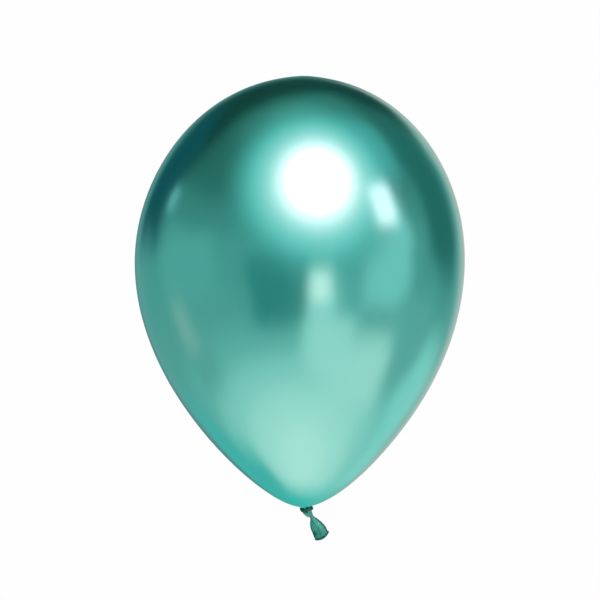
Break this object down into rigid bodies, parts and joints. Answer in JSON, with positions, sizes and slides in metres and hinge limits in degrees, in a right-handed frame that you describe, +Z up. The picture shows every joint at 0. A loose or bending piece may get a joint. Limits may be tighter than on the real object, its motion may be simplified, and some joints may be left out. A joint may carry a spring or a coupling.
{
  "type": "latex balloon",
  "caption": "Inflated round latex party balloon with a metallic skin, closed with an overhand knot, its loose tail flaring to a rolled lip.",
  "frame": {"origin": "on the envelope's axis where the envelope closes at the throat, just above the knot", "axes": "+Z up the axis to the crown, +X towards the side that the loose tail leans to, +Y away from the viewer who sees the tail lean right"},
  "size_m": [0.28, 0.2798, 0.3944],
  "materials": {
    "latex_film": "polished",
    "latex_gathered": "gloss",
    "latex_slack": "satin"
  },
  "bodies": {
    "envelope": {"envelope": "latex_film", "throat": "latex_gathered"},
    "knot": {"knot_loop": "latex_gathered", "knot_core": "latex_gathered"},
    "tuck": {"knot_tuck": "latex_gathered"},
    "stem": {"tail_stem": "latex_gathered"},
    "tail": {"tail_sleeve": "latex_slack", "rolled_lip": "latex_slack"}
  },
  "joints": [
    {"name": "knot_rock", "type": "hinge", "parent": "envelope", "child": "knot", "pos_m": [0.0023, 0, -0.0019], "axis": [1, 0, 0], "range_deg": [-12, 12], "stiffness_Nm_per_rad": 0.0004},
    {"name": "tail_twist", "type": "hinge", "parent": "knot", "child": "tuck", "pos_m": [0.0029, 0, -0.0031], "axis": [0.5, 0, -0.866], "range_deg": [-45, 45], "stiffness_Nm_per_rad": 0.0004},
    {"name": "tail_swing", "type": "hinge", "parent": "tuck", "child": "stem", "pos_m": [0.0052, 0, -0.00708], "axis": [0, 1, 0], "range_deg": [-25, 60], "stiffness_Nm_per_rad": 0.0004},
    {"name": "tail_flap", "type": "hinge", "parent": "stem", "child": "tail", "pos_m": [0.00738, 0, -0.01044], "axis": [0.8572, 0, 0.515], "range_deg": [-40, 40], "stiffness_Nm_per_rad": 0.0004}
  ]
}
